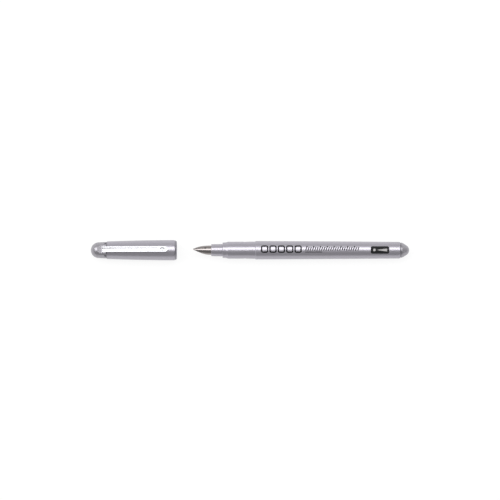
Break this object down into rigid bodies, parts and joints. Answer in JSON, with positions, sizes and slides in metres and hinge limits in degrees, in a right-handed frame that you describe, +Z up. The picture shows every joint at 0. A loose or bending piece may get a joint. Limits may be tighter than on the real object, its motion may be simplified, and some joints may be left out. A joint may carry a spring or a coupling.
{
  "type": "drawing pen",
  "caption": "Capped drawing pen with a split steel nib, finned feed, stepped grip, tapered barrel and a slide-on cap with a spring clip.",
  "frame": {"origin": "middle of the pen and its pulled-off cap along their shared axis, on the plane that the cap's widest ring rests on", "axes": "+X along the pen from nib to tail, +Z up through the clip and the printed side"},
  "size_m": [0.1832, 0.0118, 0.0129],
  "materials": {
    "silver_plastic": "moulded plastic with fine metallic flake, satin gloss",
    "end_plastic": "moulded plastic with fine metallic flake, a shade darker, for the two rounded ends",
    "clip_metal": "bright polished spring steel",
    "nib_steel": "polished stainless steel",
    "tipping_alloy": "ground hard alloy",
    "feed_plastic": "black moulded, satin",
    "fibre": "bonded fibre",
    "film": "clear wrap",
    "liner_plastic": "natural moulded plastic",
    "print_ink": "black pad print",
    "print_pale": "pale pad print"
  },
  "bodies": {
    "pen": {"barrel": "silver_plastic", "tail_plug": "end_plastic", "grip_section": "silver_plastic", "nib_collar": "silver_plastic", "nib": "nib_steel", "nib_tipping": "tipping_alloy", "feed": "feed_plastic", "feed_wick": "fibre", "ink_reservoir": "fibre", "reservoir_film": "film", "breather_tube": "liner_plastic"},
    "cap": {"cap_shell": "silver_plastic", "inner_cap": "liner_plastic", "cap_crown": "end_plastic"},
    "clip": {"clip": "clip_metal"}
  },
  "joints": [
    {"name": "cap_slide", "type": "slide", "parent": "pen", "child": "cap", "axis": [1, 0, 0], "range_m": [0, 0.0452]},
    {"name": "clip_flex", "type": "hinge", "parent": "cap", "child": "clip", "pos_m": [-0.0852, 0, 0.01116], "axis": [0, -1, 0], "range_deg": [0, 4], "stiffness_Nm_per_rad": 2}
  ]
}
